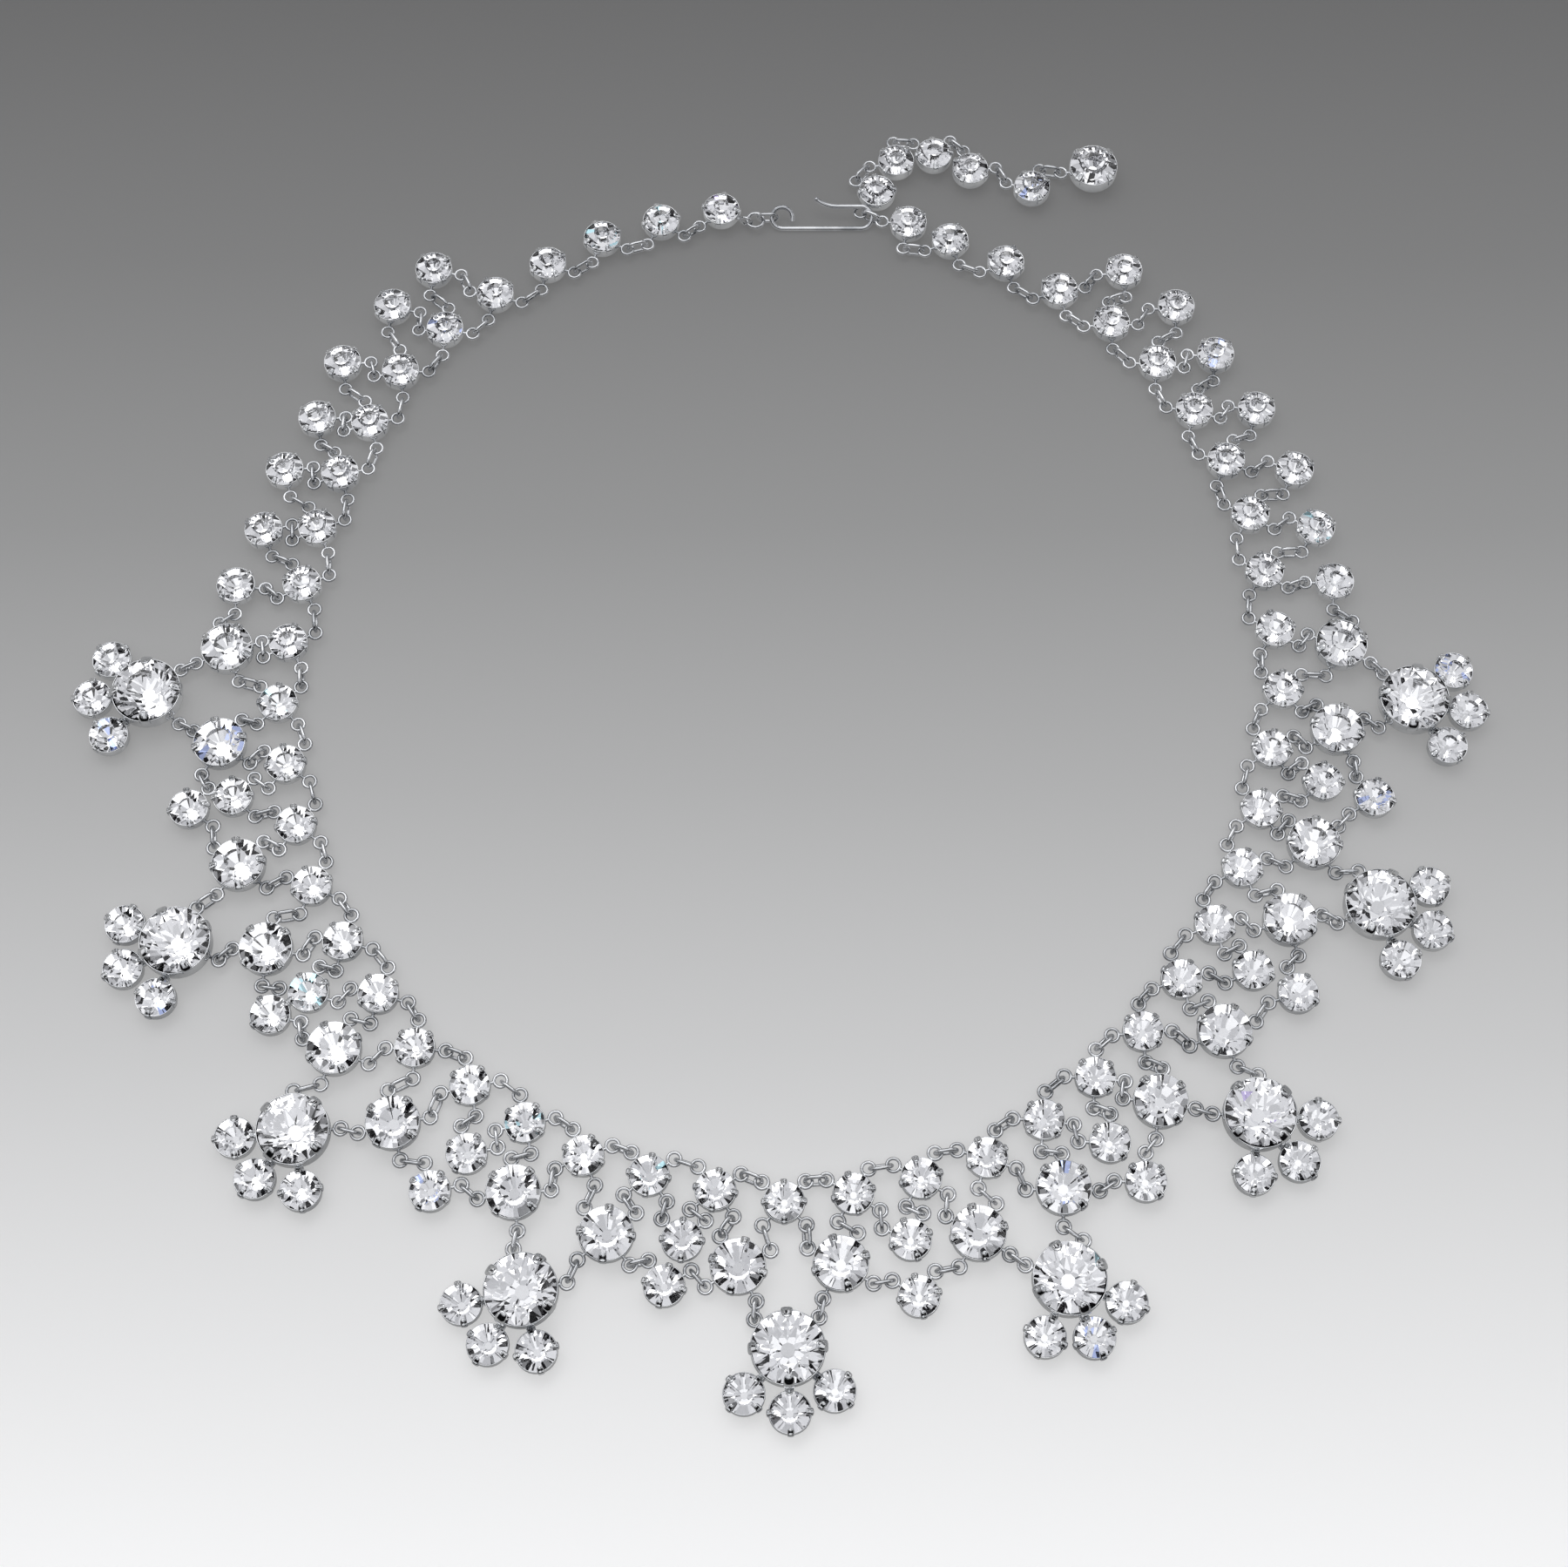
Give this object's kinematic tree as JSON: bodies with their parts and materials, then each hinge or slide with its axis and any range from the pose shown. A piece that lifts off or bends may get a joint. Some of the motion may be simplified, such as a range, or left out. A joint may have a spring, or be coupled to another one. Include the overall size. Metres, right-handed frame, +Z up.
{
  "type": "crystal drop necklace",
  "caption": "Bib necklace lying closed: a collar of small round crystals in claw cups, linked to a net of larger ones that ends in a fringe of fan-shaped drops, with a hook clasp and chain end",
  "frame": {"origin": "on the surface that the necklace lies on, under the middle of its bounding box", "axes": "+Z up out of the surface, -Y from the clasp towards the middle drop, +X towards the wearer's left, as seen from above with the clasp at the top to the right"},
  "size_m": [0.2016, 0.1993, 0.0057],
  "materials": {
    "plated_metal": "polished plating",
    "set_stones": "foiled crystal in polished plated cups",
    "crystal": "clear faceted crystal"
  },
  "bodies": {
    "root": {"collar_left": "set_stones", "collar_right": "set_stones", "upper_stones": "set_stones", "space_stones": "set_stones", "medium_stone_1": "set_stones", "medium_stone_2": "set_stones", "medium_stone_3": "set_stones", "medium_stone_4": "set_stones", "medium_stone_5": "set_stones", "medium_stone_6": "set_stones", "medium_stone_7": "set_stones", "medium_stone_8": "set_stones", "medium_stone_9": "set_stones", "medium_stone_10": "set_stones", "medium_stone_11": "set_stones", "medium_stone_12": "set_stones", "medium_stone_13": "set_stones", "medium_stone_14": "set_stones", "medium_stone_15": "set_stones", "medium_stone_16": "set_stones", "medium_stone_17": "set_stones", "medium_stone_18": "set_stones", "tail_stone_1": "set_stones", "tail_stone_2": "set_stones", "tail_stone_3": "set_stones", "tail_stone_4": "set_stones", "tail_stone_5": "set_stones", "tail_stone_6": "set_stones", "collar_links": "plated_metal", "upper_links": "plated_metal", "net_links": "plated_metal", "space_links": "plated_metal", "tail_links": "plated_metal", "hook": "plated_metal", "drop_setting_1": "plated_metal", "drop_setting_2": "plated_metal", "drop_setting_3": "plated_metal", "drop_setting_4": "plated_metal", "drop_setting_5": "plated_metal", "drop_setting_6": "plated_metal", "drop_setting_7": "plated_metal", "drop_setting_8": "plated_metal", "drop_setting_9": "plated_metal", "drop_crystal_1": "crystal", "drop_crystal_2": "crystal", "drop_crystal_3": "crystal", "drop_crystal_4": "crystal", "drop_crystal_5": "crystal", "drop_crystal_6": "crystal", "drop_crystal_7": "crystal", "drop_crystal_8": "crystal", "drop_crystal_9": "crystal"}
  },
  "joints": []
}
